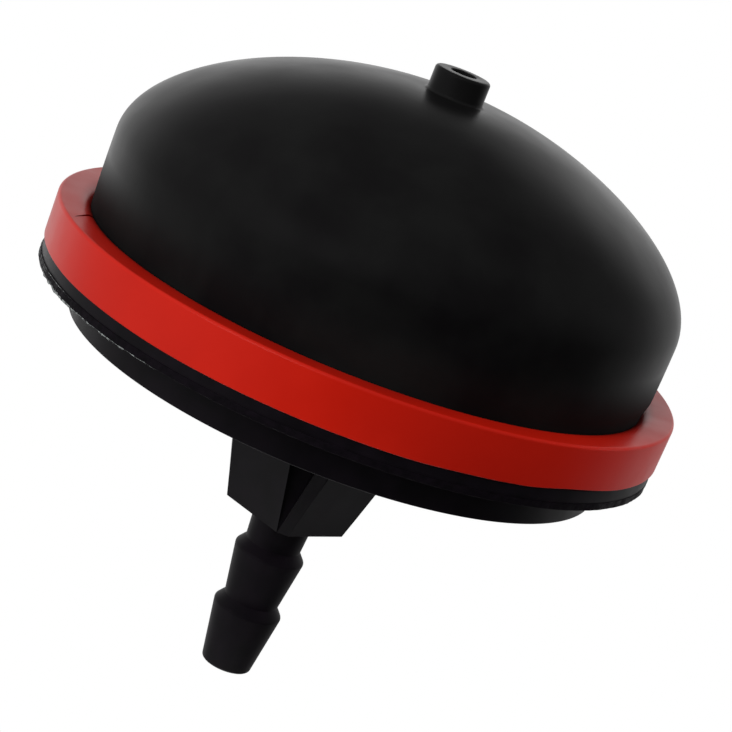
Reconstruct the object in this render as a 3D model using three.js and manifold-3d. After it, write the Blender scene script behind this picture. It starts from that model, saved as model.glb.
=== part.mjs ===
// Primer bulb: a hollow rubber dome, pressed by a thumb over its vent stub, is clamped by a
// plastic ring to a moulded base with a barbed hose spigot.
// Millimetres, +Z from the spigot to the crown. The origin is on the axis, in the plane of the
// rim's underside, which is where the base seats on the panel that carries it.

import * as THREE from 'three';
import { mergeVertices } from 'three/addons/utils/BufferGeometryUtils.js';
import Module from 'manifold-3d';

const wasm = await Module();
wasm.setup();

// Driving sizes: clamp ring
const RING_OUTER_R = 28.5;
const RING_HEIGHT = 4.0;
const RING_FACE_WIDTH = 3.0;
const RING_FLANGE = 1.3;
const RING_SKIRT_WALL = 1.2;
const RING_DRAFT = 0.08;
const RING_TOP_FILLET = 0.45;
const RING_FOOT_FILLET = 0.15;

// Driving sizes: the crack in the ring's top face
const CRACK_LENGTH = 2.6;
const CRACK_WIDTH = 0.24;
const CRACK_AZIMUTH = THREE.MathUtils.degToRad(200.5);
const CRACK_SKEW = THREE.MathUtils.degToRad(51);

// Driving sizes: rubber bulb
const WALL = 1.7;
const DOME_OVERHANG = 0.15;
const DOME_WIDEST_ABOVE_RING = 6.4;
const DOME_CROWN_ABOVE_RING = 18.6;
const SHOULDER_RISE = 0.62;
const CROWN_REACH = 0.15;
const CROWN_LAND_R = 7.0;
const BULB_FLANGE_OVERLAP = 1.9;
const STUB_R = 2.5;
const STUB_HEIGHT = 2.6;
const STUB_FILLET = 0.3;
const VENT_R = 1.15;

// Driving sizes: base
const RIM_SETBACK = 0.3;
const RIM_THICKNESS = 1.8;
const LIP_PROUD = 0.12;
const LIP_THICKNESS = 0.65;
const DISH_R = 24.5;
const DISH_DEPTH = 3.25;
const DISH_FILLET = 0.5;
const FLOOR = 1.8;
const COLLAR_WALL = 1.4;
const COLLAR_HEIGHT = 1.6;

// Driving sizes: boss, with four wrench flats cut on a cone
const BOSS_LENGTH = 12.2;
const BOSS_END_R = 5.48;
const BOSS_TAPER = THREE.MathUtils.degToRad(15.7);
const FLAT_END_DISTANCE = 4.25;
const FLAT_TAPER = THREE.MathUtils.degToRad(17);
const FLATS = 4;
const FLATS_TURN = THREE.MathUtils.degToRad(5.5);

// Driving sizes: hose spigot
const NECK_R = 2.78;
const NECK_END_R = 2.57;
const NECK_LENGTH = 2.95;
const BARB_RS = [3.25, 3.18];
const BARB_PITCH = 5.65;
const BARB_SHOULDER = 0.85;
const BARB_FILLET = 0.4;
const BARB_TAPER = THREE.MathUtils.degToRad(8.8);
const TIP_LENGTH = 5.8;
const TIP_FILLET = 0.3;
const BORE_R = 1.4;

// Driving sizes: clearances between the pieces
const RING_TO_DOME = 0.4;
const SIDE_CLEARANCE = 0.3;
const CUT_MARGIN = 0.5;
const JOIN_DEPTH = 0.9;

// Facets
const WIDE_SEGMENTS = 80;
const NARROW_SEGMENTS = 36;
const FILLET_STEPS = 3;
const DOME_STEPS = 18;
const INNER_STEPS = 12;
const SIDE_STEPS = 4;

// Worked-out sizes
const rimTop = RIM_THICKNESS;
const ringTop = rimTop + RING_HEIGHT;
const ringInnerR = RING_OUTER_R - RING_FACE_WIDTH;
const skirtInnerR = RING_OUTER_R - RING_SKIRT_WALL;
const flangeTop = ringTop - RING_FLANGE;
const footR = ringInnerR - RING_TO_DOME;
const domeR = ringInnerR + DOME_OVERHANG;
const rimR = RING_OUTER_R - RIM_SETBACK;
const bulbFlangeR = Math.min(ringInnerR + BULB_FLANGE_OVERLAP, skirtInnerR - SIDE_CLEARANCE);
const widestZ = ringTop + DOME_WIDEST_ABOVE_RING;
const crownZ = ringTop + DOME_CROWN_ABOVE_RING;
const stubTop = crownZ + STUB_HEIGHT;
const dishBottom = -DISH_DEPTH;
const floorTop = dishBottom + FLOOR;
const bossEnd = dishBottom - BOSS_LENGTH;

function arcPoints(centre, radius, from, to, steps) {
  const curve = new THREE.EllipseCurve(centre.x, centre.y, radius, radius, from, to, to < from);
  return curve.getPoints(steps);
}

// An outline from corners [radius, height, fillet], each fillet being a true arc
function roundedOutline(corners) {
  const points = corners.map(([r, z]) => new THREE.Vector2(r, z));
  const outline = [];
  corners.forEach(([, , fillet = 0], i) => {
    const corner = points[i];
    if (fillet === 0) {
      outline.push(corner);
      return;
    }
    const back = points.at(i - 1).clone().sub(corner).normalize();
    const ahead = points[(i + 1) % points.length].clone().sub(corner).normalize();
    const half = Math.acos(back.dot(ahead)) / 2;
    const middle = back.clone().add(ahead).normalize();
    const centre = corner.clone().addScaledVector(middle, fillet / Math.sin(half));
    const start = corner.clone().addScaledVector(back, fillet / Math.tan(half)).sub(centre).angle();
    const end = corner.clone().addScaledVector(ahead, fillet / Math.tan(half)).sub(centre).angle();
    const turn = THREE.MathUtils.euclideanModulo(end - start + Math.PI, 2 * Math.PI) - Math.PI;
    outline.push(...arcPoints(centre, fillet, start, start + turn, FILLET_STEPS));
  });
  return outline;
}

function toManifold(geometry) {
  const bare = geometry.clone();
  bare.deleteAttribute('normal');
  bare.deleteAttribute('uv');
  const merged = mergeVertices(bare, 1e-4);
  return new wasm.Manifold(new wasm.Mesh({
    numProp: 3,
    vertProperties: new Float32Array(merged.attributes.position.array),
    triVerts: new Uint32Array(merged.index.array),
  }));
}

function toGeometry(solid) {
  const mesh = solid.getMesh();
  const geometry = new THREE.BufferGeometry();
  geometry.setAttribute('position', new THREE.BufferAttribute(mesh.vertProperties, 3));
  geometry.setIndex(new THREE.BufferAttribute(mesh.triVerts, 1));
  geometry.computeVertexNormals();
  return geometry;
}

// Turns an anticlockwise outline about Z
function revolve(outline, segments) {
  const closed = outline.at(0).x === 0 ? outline : [...outline, outline[0].clone()];
  const geometry = new THREE.LatheGeometry(closed, segments);
  geometry.rotateX(Math.PI / 2);
  return toManifold(geometry);
}

// A solid frustum along Z from low to high
function frustum(lowR, highR, low, high, segments) {
  const geometry = new THREE.CylinderGeometry(highR, lowR, high - low, segments);
  geometry.rotateX(Math.PI / 2);
  geometry.translate(0, 0, (low + high) / 2);
  return geometry;
}

function clampRing() {
  const body = revolve(roundedOutline([
    [RING_OUTER_R - RING_DRAFT, rimTop, RING_FOOT_FILLET],
    [RING_OUTER_R, ringTop, RING_TOP_FILLET],
    [ringInnerR, ringTop, RING_TOP_FILLET],
    [ringInnerR, flangeTop],
    [skirtInnerR, flangeTop],
    [skirtInnerR, rimTop],
  ]), WIDE_SEGMENTS);
  return body.subtract(crack());
}

// A thin wedge that runs from the ring's inner edge to a point in its top face
function crack() {
  const run = CRACK_LENGTH + CUT_MARGIN;
  const mouth = CRACK_WIDTH * run / CRACK_LENGTH / 2;
  const plan = new THREE.Shape([
    new THREE.Vector2(-CUT_MARGIN, -mouth),
    new THREE.Vector2(CRACK_LENGTH, 0),
    new THREE.Vector2(-CUT_MARGIN, mouth),
  ]);
  const depth = RING_FLANGE + 2 * CUT_MARGIN;
  const geometry = new THREE.ExtrudeGeometry(plan, { depth, bevelEnabled: false });
  geometry.rotateZ(CRACK_AZIMUTH + CRACK_SKEW);
  geometry.translate(
    ringInnerR * Math.cos(CRACK_AZIMUTH), ringInnerR * Math.sin(CRACK_AZIMUTH), flangeTop - CUT_MARGIN);
  return toManifold(geometry);
}

// Half of the dome's section: up the tucked-in side, over the shoulder and in to the crown
function domeCurve(inset, low, inner, steps) {
  const widest = domeR - inset;
  const crown = crownZ - inset;
  const rise = SHOULDER_RISE * (crown - widestZ);
  const side = new THREE.QuadraticBezierCurve(
    new THREE.Vector2(footR - inset, low),
    new THREE.Vector2(widest, (low + widestZ) / 2),
    new THREE.Vector2(widest, widestZ));
  const shoulder = new THREE.CubicBezierCurve(
    new THREE.Vector2(widest, widestZ),
    new THREE.Vector2(widest, widestZ + rise),
    new THREE.Vector2(CROWN_LAND_R + CROWN_REACH * (widest - CROWN_LAND_R), crown),
    new THREE.Vector2(CROWN_LAND_R, crown));
  return [
    ...side.getPoints(SIDE_STEPS),
    ...shoulder.getPoints(steps).slice(1),
    new THREE.Vector2(inner, crown),
  ];
}

function rubberBulb() {
  const outer = domeCurve(0, flangeTop, STUB_R + STUB_FILLET, DOME_STEPS);
  const inner = domeCurve(WALL, flangeTop, VENT_R, INNER_STEPS).reverse();
  const stub = [
    ...arcPoints(new THREE.Vector2(STUB_R + STUB_FILLET, crownZ + STUB_FILLET), STUB_FILLET,
      1.5 * Math.PI, Math.PI, FILLET_STEPS).slice(1),
    ...arcPoints(new THREE.Vector2(STUB_R - STUB_FILLET, stubTop - STUB_FILLET), STUB_FILLET,
      0, Math.PI / 2, FILLET_STEPS),
    new THREE.Vector2(VENT_R, stubTop),
  ];
  return revolve([
    new THREE.Vector2(footR - WALL, rimTop),
    new THREE.Vector2(bulbFlangeR, rimTop),
    new THREE.Vector2(bulbFlangeR, flangeTop),
    ...outer,
    ...stub,
    ...inner,
  ], WIDE_SEGMENTS);
}

// Rim, rough lip, dish and the collar that centres the bulb
function basePlate() {
  const collarR = footR - WALL - SIDE_CLEARANCE;
  const collarTop = rimTop + COLLAR_HEIGHT;
  return revolve(roundedOutline([
    [0, dishBottom],
    [DISH_R, dishBottom, DISH_FILLET],
    [DISH_R, 0],
    [rimR + LIP_PROUD, 0],
    [rimR + LIP_PROUD, LIP_THICKNESS],
    [rimR, LIP_THICKNESS],
    [rimR, rimTop],
    [collarR, rimTop],
    [collarR, collarTop],
    [collarR - COLLAR_WALL, collarTop],
    [collarR - COLLAR_WALL, floorTop],
    [0, floorTop],
  ]), WIDE_SEGMENTS);
}

// A cone that widens to the dish, with wrench flats that leave a strip of it at each corner
function boss() {
  const rootZ = dishBottom + JOIN_DEPTH;
  const length = rootZ - bossEnd;
  const cone = frustum(BOSS_END_R, BOSS_END_R + length * Math.tan(BOSS_TAPER), bossEnd, rootZ,
    NARROW_SEGMENTS);
  const toCorner = 1 / Math.cos(Math.PI / FLATS);
  const flats = frustum(FLAT_END_DISTANCE * toCorner,
    (FLAT_END_DISTANCE + length * Math.tan(FLAT_TAPER)) * toCorner, bossEnd, rootZ, FLATS);
  flats.rotateZ(FLATS_TURN);
  return toManifold(cone).intersect(toManifold(flats));
}

// Neck, two barbs that point at the boss, and the tip
function spigot() {
  const corners = [];
  let top = bossEnd - NECK_LENGTH;
  const rootZ = bossEnd + JOIN_DEPTH;
  const neckSlope = (NECK_R - NECK_END_R) / NECK_LENGTH;
  corners.push([0, rootZ], [NECK_R + neckSlope * JOIN_DEPTH, rootZ]);
  let neckR = NECK_END_R;
  BARB_RS.forEach((barbR, i) => {
    const last = i === BARB_RS.length - 1;
    const rimZ = top - BARB_SHOULDER;
    const endZ = last ? rimZ - TIP_LENGTH : top - BARB_PITCH;
    corners.push([neckR, top]);
    corners.push([barbR, rimZ, BARB_FILLET]);
    neckR = barbR - (rimZ - endZ) * Math.tan(BARB_TAPER);
    if (last) corners.push([neckR, endZ, TIP_FILLET], [0, endZ]);
    top = endZ;
  });
  return revolve(roundedOutline(corners.reverse()), NARROW_SEGMENTS);
}

function baseBody() {
  const tipZ = bossEnd - NECK_LENGTH - BARB_PITCH * (BARB_RS.length - 1) - BARB_SHOULDER - TIP_LENGTH;
  const bore = toManifold(
    frustum(BORE_R, BORE_R, tipZ - CUT_MARGIN, floorTop + CUT_MARGIN, NARROW_SEGMENTS));
  return basePlate().add(boss()).add(spigot()).subtract(bore);
}

const RUBBER = new THREE.MeshStandardMaterial({ color: 0x171717, roughness: 0.42, metalness: 0 });
const RED_PLASTIC = new THREE.MeshStandardMaterial({ color: 0xaf2a1d, roughness: 0.4, metalness: 0 });
const BLACK_PLASTIC = new THREE.MeshStandardMaterial({ color: 0x19171a, roughness: 0.5, metalness: 0 });

const primerBulb = new THREE.Group();

function addPiece(name, solid, material) {
  const mesh = new THREE.Mesh(toGeometry(solid), material);
  mesh.name = name;
  primerBulb.add(mesh);
}

addPiece('rubber_bulb', rubberBulb(), RUBBER);
addPiece('clamp_ring', clampRing(), RED_PLASTIC);
addPiece('base_body', baseBody(), BLACK_PLASTIC);

export default primerBulb;
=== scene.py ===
"""Primer bulb: a hollow rubber dome held by a red clamp ring on a black base with a hose spigot."""

import math

import bmesh
import bpy
from bpy.props import FloatProperty, FloatVectorProperty, IntProperty, PointerProperty
from mathutils import Matrix, Vector, noise


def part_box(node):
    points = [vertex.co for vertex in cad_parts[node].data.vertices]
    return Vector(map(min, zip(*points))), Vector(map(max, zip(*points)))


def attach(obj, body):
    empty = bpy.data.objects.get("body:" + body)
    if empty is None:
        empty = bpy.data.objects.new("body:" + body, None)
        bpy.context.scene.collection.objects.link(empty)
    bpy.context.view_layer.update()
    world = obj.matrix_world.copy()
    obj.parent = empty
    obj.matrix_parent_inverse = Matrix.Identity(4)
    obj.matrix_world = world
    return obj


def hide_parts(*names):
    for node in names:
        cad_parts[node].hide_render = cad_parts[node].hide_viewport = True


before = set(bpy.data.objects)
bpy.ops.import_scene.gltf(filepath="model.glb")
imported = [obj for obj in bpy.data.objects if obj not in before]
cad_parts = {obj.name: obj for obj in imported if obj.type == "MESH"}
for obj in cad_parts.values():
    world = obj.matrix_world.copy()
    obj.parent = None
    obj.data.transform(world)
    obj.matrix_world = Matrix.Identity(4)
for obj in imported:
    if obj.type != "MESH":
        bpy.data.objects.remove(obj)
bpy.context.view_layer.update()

bl_info = {
    "name": "Primer Bulb",
    "version": (1, 0, 0),
    "blender": (4, 5, 0),
    "location": "View3D > Sidebar > Primer Bulb",
    "description": "Builds a primer bulb: rubber dome, clamp ring and base with a hose spigot",
    "category": "Object",
}

MM = 0.001
BODY = "root"
ON_AXIS = 1e-9
SHARP_EDGE = 30
SHARP_FACET = 11

# The solids' own limits, so that each piece stays where its solid is
BULB_LOW, BULB_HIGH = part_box("rubber_bulb")
RING_LOW, RING_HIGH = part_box("clamp_ring")
BASE_LOW, BASE_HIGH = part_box("base_body")


def srgb(code):
    """Turns an sRGB hex colour into the linear values that a shader takes."""
    parts = [int(code[i:i + 2], 16) / 255 for i in (1, 3, 5)]
    return tuple(p / 12.92 if p <= 0.04045 else ((p + 0.055) / 1.055) ** 2.4 for p in parts)


def length(name, description, default, **more):
    """A size in the panel, whose default is given in millimetres."""
    return FloatProperty(name=name, description=description, default=default * MM,
                         unit="LENGTH", precision=5, **more)


def angle(name, description, default):
    """An angle in the panel, whose default is given in degrees."""
    return FloatProperty(name=name, description=description, default=math.radians(default),
                         subtype="ANGLE")


def colour(name, description, code):
    """A colour in the panel, whose default is given as sRGB hex."""
    return FloatVectorProperty(name=name, description=description, default=srgb(code),
                               subtype="COLOR", size=3, min=0, max=1)


class BulbSettings(bpy.types.PropertyGroup):
    """Sizes and colours of the rubber bulb."""

    wall: length("Wall", "Thickness of the rubber", 1.7)
    foot_gap: length("Gap to ring", "Gap between the dome's foot and the ring", 0.05)
    overhang: length("Overhang", "How far the dome swells over the ring's inner edge", 0.15)
    widest: length("Widest height", "Height of the widest place above the ring", 6.4)
    land: length("Crown land radius", "Radius of the flat of the crown", 3.1)
    shoulder: FloatProperty(name="Shoulder rise", description="How far up the side stays steep",
                            default=0.56, min=0.1, max=1)
    reach: FloatProperty(name="Crown reach", description="How far out the crown stays flat",
                         default=0.36, min=0, max=1)
    lean: length("Lean", "How far the soft dome leans to the right", 0.28)
    stub_radius: length("Stub radius", "Radius of the vent stub", 2.5)
    stub_height: length("Stub height", "Height of the vent stub above the crown", 2.2)
    stub_fillet: length("Stub fillet", "Rounding at the stub's foot and top", 0.3)
    vent: length("Vent radius", "Radius of the vent hole", 1.15)
    rubber: colour("Rubber", "Colour of the rubber", "#0a090a")
    bloom: colour("Bloom", "Colour of the rubber where it has bloomed a little", "#121212")


class RingSettings(bpy.types.PropertyGroup):
    """Sizes and colours of the clamp ring."""

    face: length("Face width", "Width of the ring's top face", 3.0)
    flange: length("Flange", "Thickness of the inward flange", 1.3)
    skirt: length("Skirt wall", "Thickness of the ring's skirt", 1.2)
    draft: length("Draft", "How much narrower the ring is at its foot", 0.08)
    fillet: length("Top rounding", "Rounding of the top face's outer edge", 0.28)
    slope: length("Inner slope", "Width of the slope from the top face to the dome", 1.25)
    slope_depth: length("Slope depth", "How far that slope falls", 0.4)
    foot_fillet: length("Foot rounding", "Rounding of the ring's lower edge", 0.08)
    crack_length: length("Crack length", "Length of the crack in the top face", 3.6)
    crack_width: length("Crack width", "Width of the crack at the inner edge", 0.3)
    crack_azimuth: angle("Crack place", "Where the crack starts on the inner edge", 200.5)
    crack_skew: angle("Crack skew", "Turn of the crack away from the radius", 51)
    plastic: colour("Plastic", "Colour of the ring", "#b91a0b")
    shade: colour("Flow shade", "Colour in the flow marks of the moulding", "#b01608")


class BaseSettings(bpy.types.PropertyGroup):
    """Sizes and colours of the base."""

    rim: length("Rim radius", "Radius of the rim above the lip", 28.2)
    lip: length("Lip thickness", "Height of the rough lip round the rim's foot", 0.65)
    dish: length("Dish radius", "Radius of the dish under the rim", 24.5)
    dish_depth: length("Dish depth", "How far the dish stands below the rim", 3.25)
    dish_fillet: length("Dish rounding", "Rounding of the dish's lower edge", 0.05)
    floor: length("Floor", "Thickness of the dish's floor", 1.8)
    collar_wall: length("Collar wall", "Thickness of the collar inside the bulb", 1.4)
    collar_height: length("Collar height", "Height of the collar above the rim", 1.6)
    boss_length: length("Boss length", "Length of the boss with the wrench flats", 12.2)
    boss_radius: length("Boss end radius", "Radius over the corners at the boss's end", 5.48)
    boss_taper: angle("Boss taper", "How fast the corners widen to the dish", 15.7)
    flat_distance: length("Flat distance", "Distance of a flat from the axis at the end", 4.25)
    flat_taper: angle("Flat taper", "How fast the flats widen to the dish", 17)
    flats: IntProperty(name="Flats", description="Number of wrench flats", default=4, min=3)
    flats_turn: angle("Flats turn", "Turn of the flats about the axis", 5.5)
    crease: FloatProperty(name="Corner crease", default=0.73, min=0.05, max=0.95,
                          description="Where the notch ends at the top of each corner strip")
    notch: length("Notch depth", "Depth of the notch in a corner strip at the dish", 2.6)
    hairline: length("Hairline", "Width of the fine groove between a strip and its flat", 0.09)
    neck_radius: length("Neck radius", "Radius of the neck at the boss", 2.78)
    neck_end_radius: length("Neck end radius", "Radius of the neck at the first barb", 2.57)
    neck_length: length("Neck length", "Length of the neck", 2.95)
    barb_radius: length("First barb radius", "Radius of the barb next to the neck", 3.25)
    last_barb_radius: length("Last barb radius", "Radius of the barb at the tip", 3.18)
    barb_pitch: length("Barb pitch", "Distance from barb to barb", 5.65)
    barb_shoulder: length("Barb shoulder", "Height of a barb's sloping shoulder", 0.85)
    barb_fillet: length("Barb rounding", "Rounding of a barb's edge", 0.4)
    barb_taper: angle("Barb taper", "How fast a barb narrows to the tip", 8.8)
    tip_length: length("Tip length", "Length from the last barb's edge to the tip", 5.8)
    tip_fillet: length("Tip rounding", "Rounding of the tip", 0.3)
    bore: length("Bore radius", "Radius of the bore", 1.4)
    plastic: colour("Plastic", "Colour of the base", "#0a080b")
    mottle: colour("Mottle", "Colour of the faint mottling in the plastic", "#100c11")
    # The torn flash's pale grey is painted highlight, for the bright streaks along the lip's lit
    # side
    torn: colour("Torn edge", "Colour of torn flash on the lip", "#9a9f9e")


class StageSettings(bpy.types.PropertyGroup):
    """Camera, lamps and floor."""

    lens: FloatProperty(name="Lens", description="Focal length in millimetres on a 36 mm sensor",
                        default=122.95, min=1)
    pitch: angle("Pitch", "How far the camera looks down", 14.77)
    roll: angle("Roll", "Turn of the camera about its line of sight", 21.87)
    floor_drop: length("Floor drop", "Depth of the floor below the origin", 320)
    floor_radius: length("Floor radius", "Radius of the round floor", 200)
    floor: colour("Floor", "Colour of the floor", "#f4f4f4")
    key: FloatProperty(name="Key lamp", description="Power of the soft box on the left",
                       default=4.4, min=0)
    fill: FloatProperty(name="Fill lamp", description="Power of the soft box on the right",
                        default=3.4, min=0)


def corner_arc(centre, radius, start, turn, steps):
    """Points on an arc, from the angle start and through the angle turn."""
    return [centre + radius * Vector((math.cos(a), math.sin(a)))
            for a in (start + turn * i / steps for i in range(steps + 1))]


def rounded(corners, steps=5):
    """An outline from corners (radius, height, fillet), each fillet being a true arc."""
    points = [Vector(c[:2]) for c in corners]
    outline = []
    for i, corner in enumerate(corners):
        fillet = corner[2] if len(corner) > 2 else 0
        here = points[i]
        if not fillet:
            outline.append(here)
            continue
        back = (points[i - 1] - here).normalized()
        ahead = (points[(i + 1) % len(points)] - here).normalized()
        half = math.acos(max(-1, min(1, back.dot(ahead)))) / 2
        centre = here + (back + ahead).normalized() * fillet / math.sin(half)
        start = here + back * fillet / math.tan(half) - centre
        end = here + ahead * fillet / math.tan(half) - centre
        first = math.atan2(start.y, start.x)
        turn = (math.atan2(end.y, end.x) - first + math.pi) % (2 * math.pi) - math.pi
        outline += corner_arc(centre, fillet, first, turn, steps)
    return outline


def bezier(points, steps):
    """Points on a Bezier curve of any degree."""
    found = []
    for i in range(steps + 1):
        row = [Vector(p) for p in points]
        while len(row) > 1:
            row = [a.lerp(b, i / steps) for a, b in zip(row, row[1:])]
        found.append(row[0])
    return found


def turned(outline, segments):
    """A bmesh of an anticlockwise (radius, height) outline turned about Z."""
    bm = bmesh.new()
    rows = []
    for r, z in outline:
        if r < ON_AXIS:
            rows.append([bm.verts.new((0, 0, z))] * segments)
        else:
            rows.append([bm.verts.new((r * math.cos(a), r * math.sin(a), z))
                         for a in (2 * math.pi * j / segments for j in range(segments))])
    closed = rows[0][0] is rows[0][1] and rows[-1][0] is rows[-1][1]
    pairs = list(zip(rows, rows[1:])) + ([] if closed else [(rows[-1], rows[0])])
    for low, high in pairs:
        for j in range(segments):
            k = (j + 1) % segments
            bm.faces.new(dict.fromkeys((low[j], low[k], high[k], high[j])))
    return bm


def piece(name, bm, sharp=SHARP_EDGE):
    """An object from a bmesh, smooth but for edges sharper than an angle in degrees."""
    mesh = bpy.data.meshes.new(name)
    bm.to_mesh(mesh)
    bm.free()
    made = bpy.data.objects.new(name, mesh)
    bpy.context.scene.collection.objects.link(made)
    shade(made, sharp)
    return made


def shade(made, sharp):
    """Smooth shading, broken at the edges sharper than an angle in degrees."""
    made.data.polygons.foreach_set("use_smooth", [True] * len(made.data.polygons))
    made.data.set_sharp_from_angle(angle=math.radians(sharp))


def settle(made):
    """Turns an object's modifiers into its mesh."""
    graph = bpy.context.evaluated_depsgraph_get()
    mesh = bpy.data.meshes.new_from_object(made.evaluated_get(graph))
    made.modifiers.clear()
    made.data = mesh


def combine(made, other, operation):
    """Joins another object to this one, or cuts it out, and deletes the other."""
    change = made.modifiers.new("Combine", "BOOLEAN")
    change.operation = operation
    change.solver = "EXACT"
    change.object = other
    settle(made)
    bpy.data.objects.remove(other)
    if not made.data.polygons:
        raise RuntimeError(f"{made.name}: the {operation.lower()} left nothing")


def place(made, node, materials):
    """Gives a piece its materials and its body, and hides the solid that it stands for."""
    made.data.materials.clear()
    for material in materials:
        made.data.materials.append(material)
    if node:
        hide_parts(node)
    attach(made, BODY)


def ease(share):
    """A share kept between 0 and 1, with a soft start and end."""
    share = max(0, min(1, share))
    return share * share * (3 - 2 * share)


def add(tree, kind, inputs=None, **settings):
    """Adds a node with its settings, and sets or links its inputs."""
    made = tree.nodes.new(kind)
    for key, value in settings.items():
        setattr(made, key, value)
    for key, value in (inputs or {}).items():
        if isinstance(value, bpy.types.NodeSocket):
            tree.links.new(value, made.inputs[key])
        else:
            made.inputs[key].default_value = value
    return made


def per_mm(size):
    """The noise scale at which a feature is about this many millimetres wide."""
    return 1 / (size * MM)


def moulded(name, first, second, colour_mm, rough, rough_mm, grain_mm, grain_depth,
            specular, strength=0.6, dull=None):
    """A moulded surface: two close colours, uneven gloss and a fine grain, each at its size.
    dull is two heights and a roughness: the surface is that matt below the first height, and
    has its own gloss from the second."""
    material = bpy.data.materials.new(name)
    material.use_nodes = True
    tree = material.node_tree
    tree.nodes.clear()
    place_node = add(tree, "ShaderNodeTexCoord")
    cloud = add(tree, "ShaderNodeTexNoise", {"Vector": place_node.outputs["Object"],
                                             "Scale": per_mm(colour_mm), "Detail": 4.0})
    tone = add(tree, "ShaderNodeMapRange", {"Value": cloud.outputs["Fac"],
                                            "From Min": 0.35, "From Max": 0.65})
    mix = add(tree, "ShaderNodeMix", {"Factor": tone.outputs[0], 6: (*first, 1),
                                      7: (*second, 1)}, data_type="RGBA")
    wear = add(tree, "ShaderNodeTexNoise", {"Vector": place_node.outputs["Object"],
                                            "Scale": per_mm(rough_mm), "Detail": 3.0})
    gloss = add(tree, "ShaderNodeMapRange", {"Value": wear.outputs["Fac"], "From Min": 0.3,
                                             "From Max": 0.7, "To Min": rough[0],
                                             "To Max": rough[1]})
    grain = add(tree, "ShaderNodeTexNoise", {"Vector": place_node.outputs["Object"],
                                             "Scale": per_mm(grain_mm), "Detail": 2.0})
    bump = add(tree, "ShaderNodeBump", {"Height": grain.outputs["Fac"], "Strength": strength,
                                        "Distance": grain_depth * MM})
    roughness = gloss.outputs[0]
    if dull:
        split = add(tree, "ShaderNodeSeparateXYZ", {0: place_node.outputs["Object"]})
        matt = add(tree, "ShaderNodeMapRange", {"Value": split.outputs["Z"], "From Min": dull[0],
                                                "From Max": dull[1], "To Min": dull[2],
                                                "To Max": 0.0})
        roughness = add(tree, "ShaderNodeMath", {0: roughness, 1: matt.outputs[0]},
                        operation="MAXIMUM").outputs[0]
    surface = add(tree, "ShaderNodeBsdfPrincipled", {
        "Base Color": mix.outputs[2], "Roughness": roughness, "IOR": 1.5,
        "Specular IOR Level": specular, "Normal": bump.outputs[0]})
    add(tree, "ShaderNodeOutputMaterial", {"Surface": surface.outputs[0]})
    return material


def ring_sizes(scene):
    """Radii and heights that the three pieces share, read from the solids and the panel."""
    ring = scene.clamp_ring
    outer = RING_HIGH.x
    return {
        "outer": outer,
        "inner": outer - ring.face,
        "skirt": outer - ring.skirt,
        "foot": RING_LOW.z,
        "top": RING_HIGH.z,
        "ledge": RING_HIGH.z - ring.flange,
    }


class OBJECT_OT_rubber_bulb(bpy.types.Operator):
    """Builds the hollow rubber bulb with its vent stub"""

    bl_idname = "object.primer_rubber_bulb"
    bl_label = "Rubber bulb"

    segments = 256
    # Steps along the crown's curve, outside and inside, and round each small arc
    outer_steps, inner_steps, arc_steps = 54, 24, 6
    # Height over which the right side's lean starts, and share of the crown's height at which
    # the whole dome has its full lean
    lean_start = 1.5 * MM
    lean_full = 0.6
    # Height of the matt band at the foot, and its roughness
    matt_band = 7 * MM
    matt = 0.9

    def execute(self, context):
        size = context.scene.rubber_bulb
        at = ring_sizes(context.scene)
        foot = at["inner"] - size.foot_gap
        crown = BULB_HIGH.z - size.stub_height
        widest_z = at["top"] + size.widest

        def dome(inset, inner, steps):
            """The outline from foot to crown, so far inside the dome's outer face."""
            widest = at["inner"] + size.overhang - inset
            top = crown - inset
            rise = size.shoulder * (top - widest_z)
            side = bezier([(foot - inset, at["ledge"]), (widest, (at["ledge"] + widest_z) / 2),
                           (widest, widest_z)], steps // 3)
            shoulder = bezier([(widest, widest_z), (widest, widest_z + rise),
                               (size.land + size.reach * (widest - size.land), top),
                               (size.land, top)], steps)
            return side + shoulder[1:] + [Vector((inner, top))]

        stub, fillet = size.stub_radius, size.stub_fillet
        stub_foot = corner_arc(Vector((stub + fillet, crown + fillet)), fillet,
                               1.5 * math.pi, -0.5 * math.pi, self.arc_steps)
        stub_top = corner_arc(Vector((stub - fillet, BULB_HIGH.z - fillet)), fillet,
                              0, 0.5 * math.pi, self.arc_steps)
        edge = 0.1 * MM
        vent_edge = corner_arc(Vector((size.vent + edge, BULB_HIGH.z - edge)), edge,
                               0.5 * math.pi, 0.5 * math.pi, self.arc_steps // 2)
        outline = [Vector((foot - size.wall, BULB_LOW.z)), Vector((BULB_HIGH.x, BULB_LOW.z)),
                   Vector((BULB_HIGH.x, at["ledge"]))]
        outline += dome(0, stub + fillet, self.outer_steps)[:-1]
        outline += stub_foot + stub_top + vent_edge
        outline += dome(size.wall, size.vent, self.inner_steps)[::-1]
        bm = turned(outline, self.segments)
        # The soft dome leans: its right side from just above the ring, the rest higher up
        for vert in bm.verts:
            side = max(0, vert.co.x / at["inner"]) ** 2
            above = ease((vert.co.z - at["top"]) / self.lean_start)
            high = ease((vert.co.z - widest_z) / (self.lean_full * (crown - widest_z)))
            vert.co.x += size.lean * (above * side * (1 - high) + high)
        bulb = piece("bulb", bm)
        # Nitrile rubber pressed in a polished mould: near black and satin, so the room shows only
        # as wide soft sheens, with bloom in clouds 7 mm wide; it is matt at the foot, where it
        # rubs, and its grit marks of 0.2 mm are drawn at 0.5 mm to show at all
        rubber = moulded("nitrile_rubber_moulded", size.rubber, size.bloom, 7, (0.28, 0.34), 5,
                         0.5, 0.004, 0.17,
                         dull=(at["top"], at["top"] + self.matt_band, self.matt))
        place(bulb, "rubber_bulb", [rubber])
        return {"FINISHED"}


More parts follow.
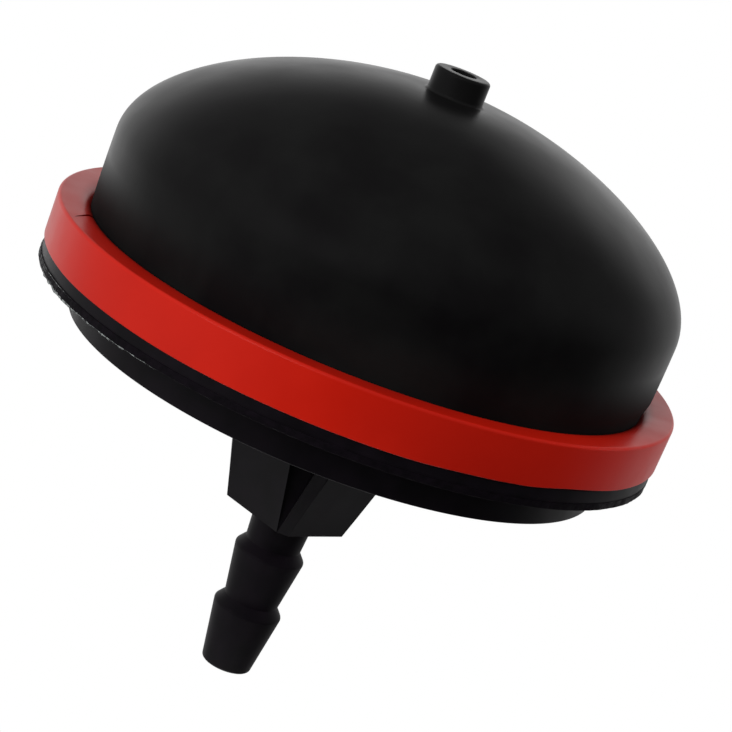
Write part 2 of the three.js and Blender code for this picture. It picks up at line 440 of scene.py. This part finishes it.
class OBJECT_OT_clamp_ring(bpy.types.Operator):
    """Builds the clamp ring with the crack in its top face"""

    bl_idname = "object.primer_clamp_ring"
    bl_label = "Clamp ring"

    segments = 384
    # Steps round each fillet and along the slope
    steps = 8
    # The lower edge's part that waves: its width and height
    edge_width = 0.25 * MM
    edge_height = 0.3 * MM
    # How the crack wanders: how far, and over what length
    crack_sway = 0.05 * MM
    crack_sway_length = 0.5 * MM
    # The lower edge was pressed on by hand: azimuth in degrees, rise in millimetres
    foot_edge = ((0, 0), (196, 0), (222, -0.14), (246, -0.22), (284, -0.22), (298, -0.08),
                 (306, -0.05), (317, 0.15), (332, 0), (360, 0))

    def execute(self, context):
        size = context.scene.clamp_ring
        at = ring_sizes(context.scene)
        slope = bezier([(at["inner"] + size.slope, at["top"]),
                        (at["inner"] + 0.3 * size.slope, at["top"]),
                        (at["inner"], at["top"] - size.slope_depth)], self.steps)
        outline = rounded([
            (at["outer"] - size.draft, at["foot"], size.foot_fillet),
            (at["outer"], at["top"], size.fillet),
            *slope,
            (at["inner"], at["ledge"]),
            (at["skirt"], at["ledge"]),
            (at["skirt"], at["foot"]),
        ], self.steps)
        bm = turned(outline, self.segments)
        for vert in bm.verts:
            edge = math.hypot(vert.co.x, vert.co.y) > at["outer"] - self.edge_width
            if edge and vert.co.z < at["foot"] + self.edge_height:
                vert.co.z += self.wave(math.degrees(math.atan2(vert.co.y, vert.co.x)) % 360)
        ring = piece("ring", bm)
        combine(ring, self.crack(size, at), "DIFFERENCE")
        shade(ring, SHARP_EDGE)
        # Injection-moulded nylon: a saturated red with a soft gloss, paler where it is seen
        # edge on, with cloudy flow marks 10 mm wide and a texture of 0.3 mm drawn at 0.5 mm
        plastic = moulded("red_nylon_moulded", size.plastic, size.shade, 10, (0.30, 0.38), 4,
                          0.5, 0.003, 0.34)
        place(ring, "clamp_ring", [plastic])
        return {"FINISHED"}

    def wave(self, azimuth):
        """How far the lower edge stands above its level at an azimuth."""
        for (first, low), (last, high) in zip(self.foot_edge, self.foot_edge[1:]):
            if azimuth <= last:
                return (low + (high - low) * ease((azimuth - first) / (last - first))) * MM

    def crack(self, size, at):
        """A thin ragged wedge from the ring's inner edge into its top face."""
        margin, steps = 0.5 * MM, 12
        half = size.crack_width / 2
        # Keeps the wedge a solid at its tip
        tip = 0.001 * MM
        left, right = [], []
        for i in range(steps + 1):
            along = -margin + (size.crack_length + margin) * i / steps
            width = half * (1 - (max(0, along) / size.crack_length) ** 3)
            sway = self.crack_sway * noise.noise(
                Vector((along / self.crack_sway_length, 3.1, 0)))
            left.append((along, sway - width))
            right.append((along, sway + width + tip))
        bm = bmesh.new()
        plan = left + right[::-1]
        low = [bm.verts.new((x, y, at["ledge"] - margin)) for x, y in plan]
        high = [bm.verts.new((x, y, at["top"] + margin)) for x, y in plan]
        bm.faces.new(low[::-1])
        bm.faces.new(high)
        for i in range(len(plan)):
            k = (i + 1) % len(plan)
            bm.faces.new((low[i], low[k], high[k], high[i]))
        start = Vector((at["inner"] * math.cos(size.crack_azimuth),
                        at["inner"] * math.sin(size.crack_azimuth), 0))
        turn = Matrix.Rotation(size.crack_azimuth + size.crack_skew, 4, "Z")
        bm.transform(Matrix.Translation(start) @ turn)
        return piece("crack", bm)


class OBJECT_OT_base(bpy.types.Operator):
    """Builds the base: rim, rough lip, dish, boss with wrench flats and barbed hose spigot"""

    bl_idname = "object.primer_base"
    bl_label = "Base"

    plate_segments = 512
    spigot_segments = 128
    bore_segments = 96
    # How far the boss reaches into the dish, and the spigot into the boss
    root = 0.9 * MM
    # Room between the collar and the inside of the bulb
    collar_room = 0.7 * MM
    # Roundings of the rim's and lip's edges, of the lip's lower edge, and under the rim
    small = 0.08 * MM
    fine = 0.03 * MM
    under_rim = 0.2 * MM
    boss_bevel = 0.09 * MM
    # How far the lip's edge wanders, and the side on which it was trimmed least
    wander = 0.05 * MM
    least_trimmed = Vector((-0.95, -0.31))
    # Share of the boss's height below which a hairline has all but run out, and over which it
    # widens
    hairline_end = 0.35
    hairline_run = 0.15

    def execute(self, context):
        size = context.scene.primer_base
        self.dish_bottom = -size.dish_depth
        self.boss_end = self.dish_bottom - size.boss_length
        base = piece("base", self.plate(context.scene))
        boss = piece("boss", self.boss(size))
        bevel = boss.modifiers.new("Bevel", "BEVEL")
        bevel.width = self.boss_bevel
        bevel.segments = 2
        bevel.limit_method = "ANGLE"
        bevel.angle_limit = math.radians(20)
        settle(boss)
        combine(base, boss, "UNION")
        combine(base, piece("spigot", self.spigot(size)), "UNION")
        combine(base, piece("bore", self.bore(size)), "DIFFERENCE")
        shade(base, SHARP_FACET)
        # Glass-filled nylon: a black with a violet cast, faint mottling and a dull gloss that
        # picks out facets, duller down the boss and spigot; the filler's 0.3 mm specks are drawn
        # at 0.45 mm to show at all
        plastic = moulded("black_nylon_glass_filled", size.plastic, size.mottle, 2.2,
                          (0.34, 0.46), 3, 0.45, 0.006, 0.19,
                          dull=(self.boss_end, self.dish_bottom, 0.52))
        # The same nylon where it was torn from its runner: dull and ridged every millimetre
        torn = moulded("black_nylon_torn", size.plastic, size.mottle, 0.6, (0.4, 0.7), 1,
                       0.35, 0.05, 0.08, strength=1.0)
        place(base, "base_body", [plastic, torn])
        # The lip is all that stands outside the rim
        lip_radius = size.rim + 0.01 * MM
        for face in base.data.polygons:
            middle = face.center
            if middle.z < size.lip and math.hypot(middle.x, middle.y) > lip_radius:
                face.material_index = 1
        return {"FINISHED"}

    def plate(self, scene):
        """The rim, the rough lip, the dish and the collar inside the bulb."""
        size = scene.primer_base
        collar = ring_sizes(scene)["inner"] - scene.rubber_bulb.wall - self.collar_room
        rim_top = RING_LOW.z
        floor_top = self.dish_bottom + size.floor
        lip, small = BASE_HIGH.x, self.small
        bm = turned(rounded([
            (0, self.dish_bottom),
            (size.dish, self.dish_bottom, size.dish_fillet),
            (size.dish, 0, self.under_rim),
            (lip, 0, self.fine),
            (lip, size.lip, small),
            (size.rim, size.lip),
            (size.rim, rim_top, small),
            (collar, rim_top),
            (collar, rim_top + size.collar_height),
            (collar - size.collar_wall, rim_top + size.collar_height),
            (collar - size.collar_wall, floor_top),
            (0, floor_top),
        ]), self.plate_segments)
        # The lip was trimmed by hand, so its edge wanders by up to 0.2 mm
        for vert in bm.verts:
            radius = math.hypot(vert.co.x, vert.co.y)
            if radius > size.rim + 0.5 * small and vert.co.z < size.lip:
                long, short = (noise.noise(vert.co * per_mm(period)) for period in (2.5, 0.8))
                proud = max(0, Vector((vert.co.x, vert.co.y)).normalized().dot(self.least_trimmed))
                trim = 0.6 + long + 0.6 * short + 1.2 * (1 - proud)
                vert.co.xy *= 1 - self.wander * trim / radius
        return bm

    def boss(self, size):
        """A cone cut by wrench flats, with a notch that widens to the dish in each corner strip."""
        bm = bmesh.new()
        rows, steps = [], 10
        top = self.dish_bottom + self.root

        def section(z):
            """The corners' radius and half width at a height."""
            up = z - self.boss_end
            radius = size.boss_radius + up * math.tan(size.boss_taper)
            flat = size.flat_distance + up * math.tan(size.flat_taper)
            return radius, math.pi / size.flats - math.acos(min(1, flat / radius))

        def crease(z, corner, share):
            """A point across a corner strip, from 0 at its left edge to 1 at its right."""
            radius, half = section(z)
            a = corner - half + 2 * half * share
            return radius * Vector((math.cos(a), math.sin(a)))

        for i in range(steps + 1):
            z = self.boss_end + (top - self.boss_end) * i / steps
            radius = section(z)[0]
            # Neither the notch nor the hairline runs out to nothing, which keeps the mesh sound
            deep = size.notch * (0.02 + 0.98 * i / steps)
            open_share = min(1, max(0, i / steps - self.hairline_end) / self.hairline_run)
            fine = size.hairline * (0.02 + 0.5 * open_share)
            plan = []
            for k in range(size.flats):
                corner = -0.5 * math.pi + size.flats_turn + 2 * math.pi * k / size.flats
                left, right = crease(z, corner, 0), crease(z, corner, 1)
                inward = -deep * Vector((math.cos(corner), math.sin(corner)))
                # The notch is a sliver at the boss's end, and reaches the crease at the dish
                notch_end = crease(self.boss_end, corner, 0.04).lerp(
                    crease(top, corner, size.crease), i / steps)
                to_flat = corner + math.pi / size.flats
                along = Vector((-math.sin(to_flat), math.cos(to_flat)))
                plan += [left, left + inward, notch_end + inward, notch_end,
                         right + (notch_end - right).normalized() * fine,
                         right * (1 - 1.5 * fine / radius), right + along * fine]
            rows.append([bm.verts.new((*point, z)) for point in plan])
        for low, high in zip(rows, rows[1:]):
            for j in range(len(low)):
                k = (j + 1) % len(low)
                bm.faces.new((low[j], low[k], high[k], high[j]))
        bm.faces.new(rows[0][::-1])
        bm.faces.new(rows[-1])
        return bm

    def spigot(self, size):
        """The neck, two barbs that point at the boss, and the tip."""
        top = self.boss_end - size.neck_length
        slope = (size.neck_radius - size.neck_end_radius) / size.neck_length
        corners = [(0, self.boss_end + self.root),
                   (size.neck_radius + slope * self.root, self.boss_end + self.root)]
        neck = size.neck_end_radius
        for barb, last in ((size.barb_radius, False), (size.last_barb_radius, True)):
            edge = top - size.barb_shoulder
            end = edge - size.tip_length if last else top - size.barb_pitch
            corners += [(neck, top), (barb, edge, size.barb_fillet)]
            neck = barb - (edge - end) * math.tan(size.barb_taper)
            if last:
                corners += [(neck, end, size.tip_fillet), (0, end)]
            top = end
        return turned(rounded(corners[::-1]), self.spigot_segments)

    def bore(self, size):
        """The bore from the tip to the inside of the dish."""
        margin = 0.5 * MM
        low, high = BASE_LOW.z - margin, self.dish_bottom + size.floor + margin
        return turned([Vector((0, low)), Vector((size.bore, low)), Vector((size.bore, high)),
                       Vector((0, high))], self.bore_segments)


class OBJECT_OT_lip_flash(bpy.types.Operator):
    """Builds thin ragged beads of torn flash on the lip and its lower edge, their pale grey a
    painted highlight
    """

    bl_idname = "object.primer_lip_flash"
    bl_label = "Torn flash"

    # Each run: first and last azimuth in degrees, height and thickness in millimetres. The runs lie
    # on the lip's lit front-left side, where their grey is painted highlight
    runs = ((203, 224, -0.05, 0.11), (214, 242, -0.02, 0.065), (188, 214, 0.12, 0.02),
            (184, 208, 0.38, 0.016), (196, 219, 0.6, 0.02))
    rows_per_degree = 10
    sides = 6
    # The corner of a bead's section, of its six, that its spikes grow from
    spiked = 4
    sharp = 40

    def execute(self, context):
        size = context.scene.primer_base
        bm = bmesh.new()
        for run in self.runs:
            self.bead(bm, *run)
        bmesh.ops.recalc_face_normals(bm, faces=bm.faces)
        flash = piece("lip_flash", bm, self.sharp)
        # Torn nylon flash, mottled with a pale grey that is painted highlight, for the bright
        # streaks along the lip: it reads grey on black
        material = moulded("black_nylon_flash_painted_highlight", size.mottle, size.torn, 0.35, (0.5, 0.7),
                           1, 0.2, 0.03, 0.5)
        place(flash, None, [material])
        return {"FINISHED"}

    def bead(self, bm, first, last, height, size):
        """A closed, spiky bead along part of the lip, which thins out at gaps and at its ends."""
        count, sides = int(self.rows_per_degree * (last - first)), self.sides
        rows = []
        for i in range(count + 1):
            share = i / count
            a = math.radians(first + (last - first) * share)
            along = BASE_HIGH.x * a / MM

            def wave(period):
                """Noise along the lip, with waves of so many millimetres."""
                return noise.noise(Vector((along / period, 3.7 * period, height)))

            # It starts fast, dies out slowly and breaks up on the way
            fade = min(1, 12 * share, 3 * (1 - share)) * min(1, max(0.2, 0.7 + 2.2 * wave(0.9)))
            thick = size * (0.7 + abs(wave(0.5)))
            spike = 4.5 * size * max(0, wave(0.22))
            out = BASE_HIGH.x / MM - 0.6 * size + 0.4 * size * wave(0.9)
            row = []
            for k in range(sides):
                turn = 2 * math.pi * k / sides
                grow = fade * (thick + (spike if k == self.spiked else 0))
                r = (out + grow * math.cos(turn)) * MM
                z = (height + size * wave(1.3) + grow * math.sin(turn)) * MM
                row.append(bm.verts.new((r * math.cos(a), r * math.sin(a), z)))
            rows.append(row)
        for near, far in zip(rows, rows[1:]):
            for k in range(sides):
                n = (k + 1) % sides
                bm.faces.new((near[k], near[n], far[n], far[k]))
        bm.faces.new(rows[0])
        bm.faces.new(rows[-1][::-1])


class OBJECT_OT_stage(bpy.types.Operator):
    """Sets up the camera, the soft boxes, the world and the pale floor"""

    bl_idname = "object.primer_stage"
    bl_label = "Stage"

    camera_place = Vector((1.816, -211.62, 55.78)) * MM
    sensor = 36
    # Where the soft boxes stand in metres and how wide they are, and the point they face
    key_place, key_width = Vector((-0.31, -0.49, 0.25)), 0.42
    fill_place, fill_width = Vector((0.55, 0.26, 0.18)), 0.36
    lamp_aim = Vector((0, 0, 8 * MM))
    # What the floor's own shade lacks to white, so that it keeps the bulb's shadow
    floor_lift = 0.75
    # The middle of the dark gap between the bright sides of the room
    gap_shift = 0.05
    # How bright the room is in each direction (x to the right, y to the back, z up): a name,
    # what it follows, from where to where, and its brightness at either end
    fades = (("sky", "z", -0.1, 0.5, 0.03, 0.3), ("sky_back", "y", 0.2, 0.8, 1, 0.35),
             ("back", "y", 0.1, 1, 0, 1), ("back_high", "z", 0.2, 0.6, 1.1, 0.1),
             ("sides", "off_axis", 0.02, 0.7, 0.02, 0.27), ("sides_right", "x", -0.2, 0.8, 1, 0.2),
             ("corner_x", "x", 0, 0.3, 0, 1), ("corner_low", "z", 0.05, 0.3, 0, 1),
             ("corner_high", "z", 0.45, 0.8, 1.7, 0.2), ("corner_back", "y", 0.6, 0.9, 0, 1),
             ("across", "x", -1, 0.4, 1.14, 0.5), ("backdrop", "y", 0.94, 0.99, 0, 1))
    # How those are joined: a name, how, and the two that it joins
    sums = (("above", "MULTIPLY", "sky", "sky_back"), ("behind", "MULTIPLY", "back", "back_high"),
            ("wings", "MULTIPLY", "sides", "sides_right"), ("lit", "MAXIMUM", "above", "behind"),
            ("corner_edge", "MULTIPLY", "corner_x", "corner_low"),
            ("corner_far", "MULTIPLY", "corner_edge", "corner_back"),
            ("corner", "MULTIPLY", "corner_far", "corner_high"),
            ("back_and_corner", "MAXIMUM", "lit", "corner"),
            ("all_round", "MAXIMUM", "back_and_corner", "wings"),
            ("soft", "MULTIPLY", "all_round", "across"),
            ("gloss_white", "MULTIPLY", "gloss", "backdrop"),
            ("seen", "MAXIMUM", "camera", "glass"), ("white", "MAXIMUM", "seen", "gloss_white"))

    def execute(self, context):
        size = context.scene.primer_stage
        context.scene.view_settings.view_transform = "Standard"
        self.camera(context.scene, size)
        self.floor(size)
        self.world(context.scene)
        self.soft_box("key", self.key_place, self.key_width, size.key)
        self.soft_box("fill", self.fill_place, self.fill_width, size.fill)
        return {"FINISHED"}

    def camera(self, scene, size):
        """A camera at the photograph's place, rolled so that the bulb leans."""
        data = bpy.data.cameras.new("camera")
        data.sensor_width = self.sensor
        data.lens = size.lens
        data.clip_start = 0.01
        camera = bpy.data.objects.new("camera", data)
        scene.collection.objects.link(camera)
        camera.matrix_world = (Matrix.Translation(self.camera_place)
                               @ Matrix.Rotation(0.5 * math.pi - size.pitch, 4, "X")
                               @ Matrix.Rotation(size.roll, 4, "Z"))
        scene.camera = camera

    def floor(self, size):
        """A round pale floor, far enough below that the bulb's shadow is soft."""
        bm = bmesh.new()
        bmesh.ops.create_circle(bm, cap_ends=True, segments=96, radius=size.floor_radius)
        bmesh.ops.translate(bm, verts=bm.verts, vec=(0, 0, -size.floor_drop))
        floor = piece("floor", bm)
        # Board with matt white paint: it reads as plain white and takes a soft shadow
        material = bpy.data.materials.new("painted_board")
        material.use_nodes = True
        tree = material.node_tree
        tree.nodes.clear()
        matt = add(tree, "ShaderNodeBsdfDiffuse", {"Color": (*size.floor, 1)})
        seen = self.seen(tree)
        lift = add(tree, "ShaderNodeMath", {0: seen, 1: self.floor_lift}, operation="MULTIPLY")
        glow = add(tree, "ShaderNodeEmission", {"Color": (*size.floor, 1),
                                                "Strength": lift.outputs[0]})
        both = add(tree, "ShaderNodeAddShader", {0: matt.outputs[0], 1: glow.outputs[0]})
        add(tree, "ShaderNodeOutputMaterial", {"Surface": both.outputs[0]})
        floor.data.materials.append(material)

    def seen(self, tree):
        """1 for rays that look at the background: from the camera, a gloss or a glass."""
        path = add(tree, "ShaderNodeLightPath")
        gloss = add(tree, "ShaderNodeMath", {0: path.outputs["Is Camera Ray"],
                                             1: path.outputs["Is Glossy Ray"]},
                    operation="MAXIMUM")
        glass = add(tree, "ShaderNodeMath", {0: gloss.outputs[0],
                                             1: path.outputs["Is Transmission Ray"]},
                    operation="MAXIMUM")
        return glass.outputs[0]

    def world(self, scene):
        """White to the camera and through glass, and to a gloss where it stands behind the bulb;
        elsewhere a soft, dim room that the black rubber and plastic mirror."""
        world = bpy.data.worlds.new("white_room")
        world.use_nodes = True
        scene.world = world
        tree = world.node_tree
        tree.nodes.clear()
        path = add(tree, "ShaderNodeLightPath").outputs
        place_node = add(tree, "ShaderNodeTexCoord")
        split = add(tree, "ShaderNodeSeparateXYZ", {0: place_node.outputs["Generated"]})
        found = {"camera": path["Is Camera Ray"], "gloss": path["Is Glossy Ray"],
                 "glass": path["Is Transmission Ray"], **dict(zip("xyz", split.outputs))}
        shift = add(tree, "ShaderNodeMath", {0: found["x"], 1: self.gap_shift}, operation="ADD")
        found["off_axis"] = add(tree, "ShaderNodeMath", {0: shift.outputs[0]},
                                operation="ABSOLUTE").outputs[0]
        for name, follows, low, high, first, last in self.fades:
            found[name] = add(tree, "ShaderNodeMapRange", {
                "Value": found[follows], "From Min": low, "From Max": high, "To Min": first,
                "To Max": last}).outputs[0]
        for name, operation, one, two in self.sums:
            found[name] = add(tree, "ShaderNodeMath", {0: found[one], 1: found[two]},
                              operation=operation).outputs[0]
        level = add(tree, "ShaderNodeMix", {0: found["white"], 2: found["soft"], 3: 1.0},
                    data_type="FLOAT")
        back = add(tree, "ShaderNodeBackground", {"Strength": level.outputs[0]})
        back.inputs["Color"].default_value = (1, 1, 1, 1)
        add(tree, "ShaderNodeOutputWorld", {"Surface": back.outputs[0]})

    def soft_box(self, name, where, width, power):
        """A square area lamp that faces the bulb, and that no gloss mirrors."""
        data = bpy.data.lights.new(name, "AREA")
        data.shape = "SQUARE"
        data.size = width
        data.energy = power
        lamp = bpy.data.objects.new(name, data)
        bpy.context.scene.collection.objects.link(lamp)
        lamp.location = where
        lamp.visible_glossy = False
        lamp.rotation_euler = (self.lamp_aim - where).to_track_quat("-Z", "Y").to_euler()


class VIEW3D_PT_primer_bulb(bpy.types.Panel):
    """Lists the steps and their settings"""

    bl_label = "Primer Bulb"
    bl_space_type = "VIEW_3D"
    bl_region_type = "UI"
    bl_category = "Primer Bulb"

    def draw(self, context):
        for group, steps in PANEL_ROWS:
            box = self.layout.box()
            for step in steps:
                box.operator(step.bl_idname)
            settings = getattr(context.scene, group)
            for key in settings.bl_rna.properties.keys():
                if key not in ("rna_type", "name"):
                    box.prop(settings, key)


SETTINGS = {
    "rubber_bulb": BulbSettings,
    "clamp_ring": RingSettings,
    "primer_base": BaseSettings,
    "primer_stage": StageSettings,
}
PANEL_ROWS = (
    ("primer_stage", (OBJECT_OT_stage,)),
    ("rubber_bulb", (OBJECT_OT_rubber_bulb,)),
    ("clamp_ring", (OBJECT_OT_clamp_ring,)),
    ("primer_base", (OBJECT_OT_base, OBJECT_OT_lip_flash)),
)
OPERATORS = tuple(step for _, steps in PANEL_ROWS for step in steps)


def register():
    for group in (*SETTINGS.values(), *OPERATORS, VIEW3D_PT_primer_bulb):
        bpy.utils.register_class(group)
    for name, group in SETTINGS.items():
        setattr(bpy.types.Scene, name, PointerProperty(type=group))


def unregister():
    for name in SETTINGS:
        delattr(bpy.types.Scene, name)
    for group in (VIEW3D_PT_primer_bulb, *OPERATORS, *reversed(SETTINGS.values())):
        bpy.utils.unregister_class(group)


def main():
    register()
    bpy.ops.object.primer_stage()
    bpy.ops.object.primer_rubber_bulb()
    bpy.ops.object.primer_clamp_ring()
    bpy.ops.object.primer_base()
    bpy.ops.object.primer_lip_flash()


if __name__ == "__main__":
    main()
